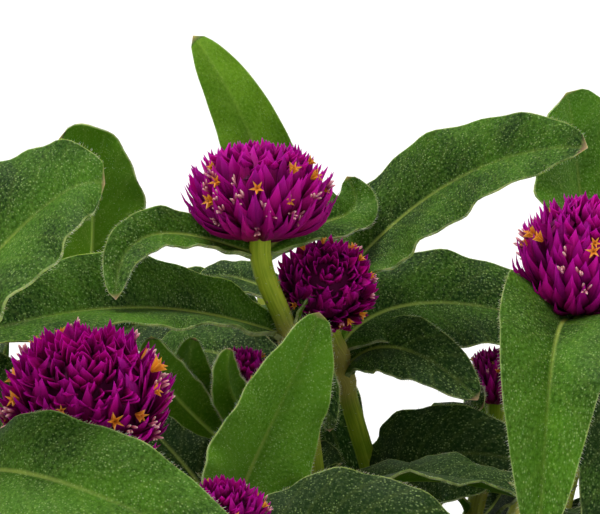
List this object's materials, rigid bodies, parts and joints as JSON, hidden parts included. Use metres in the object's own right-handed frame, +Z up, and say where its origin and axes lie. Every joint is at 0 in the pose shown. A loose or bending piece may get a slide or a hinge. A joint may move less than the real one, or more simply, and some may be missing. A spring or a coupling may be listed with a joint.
{
  "type": "potted globe amaranth",
  "caption": "Dwarf globe amaranth in a plain round plastic pot: compost, hairy leafy stems and round magenta flower heads.",
  "frame": {"origin": "middle of the pot's flat underside", "axes": "+Z up out of the pot, -Y towards the side the picture is taken from, +X to the right in that view"},
  "size_m": [0.2095, 0.1935, 0.212],
  "materials": {
    "pot": "matt moulded plastic, terracotta coloured",
    "compost": "dark crumbly peat compost with roots",
    "leaf": "soft, finely hairy leaf, satin under the hairs",
    "bloom": "papery magenta bracts, satin"
  },
  "bodies": {
    "root": {"pot": "pot", "compost": "compost", "leafy_stem_01": "leaf", "leafy_stem_02": "leaf", "leafy_stem_03": "leaf", "leafy_stem_04": "leaf", "leafy_stem_05": "leaf", "leafy_stem_06": "leaf", "leafy_stem_07": "leaf", "leafy_stem_08": "leaf", "leafy_stem_09": "leaf", "leafy_stem_10": "leaf", "leafy_stem_11": "leaf", "leafy_stem_12": "leaf", "leafy_stem_13": "leaf", "leafy_stem_14": "leaf", "leafy_stem_15": "leaf", "leafy_stem_16": "leaf", "bloom_01": "bloom", "bloom_02": "bloom", "bloom_03": "bloom", "bloom_04": "bloom", "bloom_05": "bloom", "bloom_06": "bloom", "bloom_07": "bloom", "bloom_08": "bloom", "bloom_09": "bloom", "bloom_10": "bloom", "bloom_11": "bloom", "bloom_12": "bloom", "bloom_13": "bloom", "bloom_14": "bloom", "bloom_15": "bloom", "bloom_16": "bloom"}
  },
  "joints": []
}
